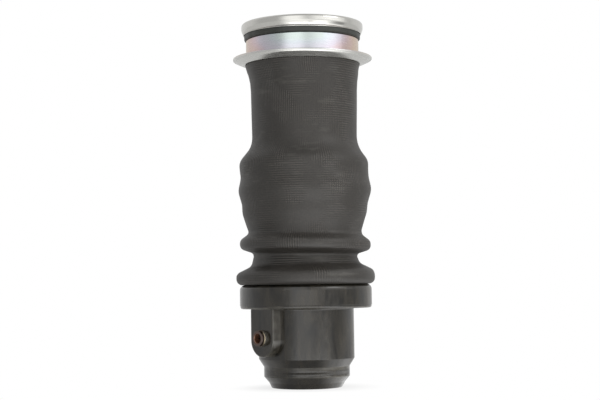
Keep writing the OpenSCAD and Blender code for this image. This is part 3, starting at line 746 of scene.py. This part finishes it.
def sleeveTree():
    tree = bpy.data.node_groups.new("foldedSleeve", "GeometryNodeTree")
    face = tree.interface
    face.new_socket("Geometry", in_out="INPUT", socket_type="NodeSocketGeometry")
    kinds = {
        "Outline": "NodeSocketObject", "Rows": "NodeSocketInt", "Columns": "NodeSocketInt",
        "Dent size": "NodeSocketFloat", "Seed": "NodeSocketFloat", "Finish": "NodeSocketMaterial",
    }
    for name, kind in kinds.items():
        face.new_socket(name, in_out="INPUT", socket_type=kind)
    face.new_socket("Geometry", in_out="OUTPUT", socket_type="NodeSocketGeometry")
    given = add(tree, "NodeGroupInput").node.outputs
    outline = add(tree, "GeometryNodeObjectInfo", {"Object": given["Outline"]}, output="Geometry")
    edge = add(tree, "ShaderNodeMath", {0: given["Columns"], 1: 1}, operation="ADD")
    inputs = {"Size X": 1, "Size Y": 1, "Vertices X": edge, "Vertices Y": given["Rows"]}
    grid = add(tree, "GeometryNodeMeshGrid", inputs)
    lastRow = add(tree, "ShaderNodeMath", {0: given["Rows"], 1: 1}, operation="SUBTRACT")
    position = add(tree, "GeometryNodeInputPosition")
    # where a point is on the grid, 0 to 1 both ways
    spot = add(tree, "ShaderNodeSeparateXYZ", {0: position}).node.outputs
    across = add(tree, "ShaderNodeMath", {0: spot["X"], 1: 0.5}, operation="ADD")
    along = add(tree, "ShaderNodeMath", {0: spot["Y"], 1: 0.5}, operation="ADD")
    rowAt = add(tree, "ShaderNodeMath", {0: along, 1: lastRow}, operation="MULTIPLY")
    rowAt = add(tree, "ShaderNodeMath", {0: rowAt}, operation="ROUND")
    inputs = {"Geometry": outline, "Value": position, "Index": rowAt}
    section = add(tree, "GeometryNodeSampleIndex", inputs, data_type="FLOAT_VECTOR", domain="POINT")
    section = add(tree, "ShaderNodeSeparateXYZ", {0: section}).node.outputs
    radius, height = section["X"], section["Z"]
    turn = add(tree, "ShaderNodeMath", {0: across, 1: 2 * math.pi}, operation="MULTIPLY")
    cosine = add(tree, "ShaderNodeMath", {0: turn}, operation="COSINE")
    sine = add(tree, "ShaderNodeMath", {0: turn}, operation="SINE")
    # soft dents, none where the sleeve is clamped
    climb = add(tree, "ShaderNodeMath", {0: height, 1: sleeve["dents"]["climb"]}, operation="MULTIPLY")
    ring = add(tree, "ShaderNodeCombineXYZ", {"X": cosine, "Y": sine, "Z": climb})
    inputs = {"Vector": ring, "W": given["Seed"], "Scale": given["Dent size"], "Detail": 1}
    noise = add(tree, "ShaderNodeTexNoise", inputs, noise_dimensions="4D")
    inputs = {"Value": noise, "From Min": 0.25, "From Max": 0.75, "To Min": -1.0, "To Max": 1.0}
    swing = add(tree, "ShaderNodeMapRange", inputs)
    depth = smoothCurve(tree, height, inMetres(askew["dents"]))
    radius = add(tree, "ShaderNodeMath", {0: swing, 1: depth, 2: radius}, operation="MULTIPLY_ADD")
    # how far a point is on the side that is on the right of the photograph, -1 to 1
    side = add(tree, "ShaderNodeMath", {0: turn, 1: photoRight}, operation="SUBTRACT")
    side = add(tree, "ShaderNodeMath", {0: side}, operation="COSINE")
    tilt = smoothCurve(tree, height, inMetres(askew["foldTilt"]))
    z = add(tree, "ShaderNodeMath", {0: side, 1: tilt, 2: height}, operation="MULTIPLY_ADD")
    shift = smoothCurve(tree, height, inMetres(askew["neckShift"]))
    shiftX = add(tree, "ShaderNodeMath", {0: shift, 1: math.cos(photoRight)}, operation="MULTIPLY")
    shiftY = add(tree, "ShaderNodeMath", {0: shift, 1: math.sin(photoRight)}, operation="MULTIPLY")
    x = add(tree, "ShaderNodeMath", {0: radius, 1: cosine, 2: shiftX}, operation="MULTIPLY_ADD")
    y = add(tree, "ShaderNodeMath", {0: radius, 1: sine, 2: shiftY}, operation="MULTIPLY_ADD")
    # the weave's own coordinates in metres: round the sleeve, and along its outline
    uv = add(tree, "ShaderNodeSeparateXYZ", {0: grid.node.outputs["UV Map"]}).node.outputs
    uvRow = add(tree, "ShaderNodeMath", {0: uv["Y"], 1: lastRow}, operation="MULTIPLY")
    uvRow = add(tree, "ShaderNodeMath", {0: uvRow}, operation="ROUND")
    run = add(tree, "GeometryNodeInputNamedAttribute", {"Name": "run"}, data_type="FLOAT")
    inputs = {"Geometry": outline, "Value": run, "Index": uvRow}
    run = add(tree, "GeometryNodeSampleIndex", inputs, data_type="FLOAT", domain="POINT")
    girth = 2 * math.pi * sleeve["clothRadius"] * mm
    around = add(tree, "ShaderNodeMath", {0: uv["X"], 1: girth}, operation="MULTIPLY")
    cloth = add(tree, "ShaderNodeCombineXYZ", {"X": around, "Y": run})
    inputs = {"Geometry": grid, "Name": "sleeve", "Value": cloth}
    mapped = add(tree, "GeometryNodeStoreNamedAttribute", inputs, data_type="FLOAT2", domain="CORNER")
    place = add(tree, "ShaderNodeCombineXYZ", {"X": x, "Y": y, "Z": z})
    shaped = add(tree, "GeometryNodeSetPosition", {"Geometry": mapped, "Position": place})
    welded = add(tree, "GeometryNodeMergeByDistance", {"Geometry": shaped, "Distance": 1e-6})
    smooth = add(tree, "GeometryNodeSetShadeSmooth", {"Geometry": welded})
    real = add(tree, "GeometryNodeRealizeInstances", {"Geometry": smooth})
    done = add(tree, "GeometryNodeSetMaterial", {"Geometry": real, "Material": given["Finish"]})
    add(tree, "NodeGroupOutput", {0: done})
    return tree


# runs a geometry tree and returns its result as a plain mesh object
def plainMesh(name, tree, values):
    carrier = bpy.data.objects.new(name + "Tree", bpy.data.meshes.new(name + "Tree"))
    bpy.context.scene.collection.objects.link(carrier)
    modifier = carrier.modifiers.new("tree", "NODES")
    modifier.node_group = tree
    for item in tree.interface.items_tree:
        if item.item_type == "SOCKET" and item.in_out == "INPUT" and item.name in values:
            modifier[item.identifier] = values[item.name]
    bpy.context.view_layer.update()
    shape = carrier.evaluated_get(bpy.context.evaluated_depsgraph_get())
    mesh = bpy.data.meshes.new_from_object(shape)
    made = bpy.data.objects.new(name, mesh)
    mesh.name = name
    bpy.context.scene.collection.objects.link(made)
    bpy.data.objects.remove(carrier)
    return made


outline, rows = sleeveOutline()
rubberSleeve = plainMesh("rubberSleeve", sleeveTree(), {
    "Outline": outline, "Rows": rows, "Columns": sleeve["columns"],
    "Dent size": sleeve["dents"]["size"], "Seed": sleeve["dents"]["seed"], "Finish": materials["rubber"],
})
bpy.data.objects.remove(outline)
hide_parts("bellows")
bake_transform(rubberSleeve)
print("rubber sleeve:", len(rubberSleeve.data.polygons), "faces")
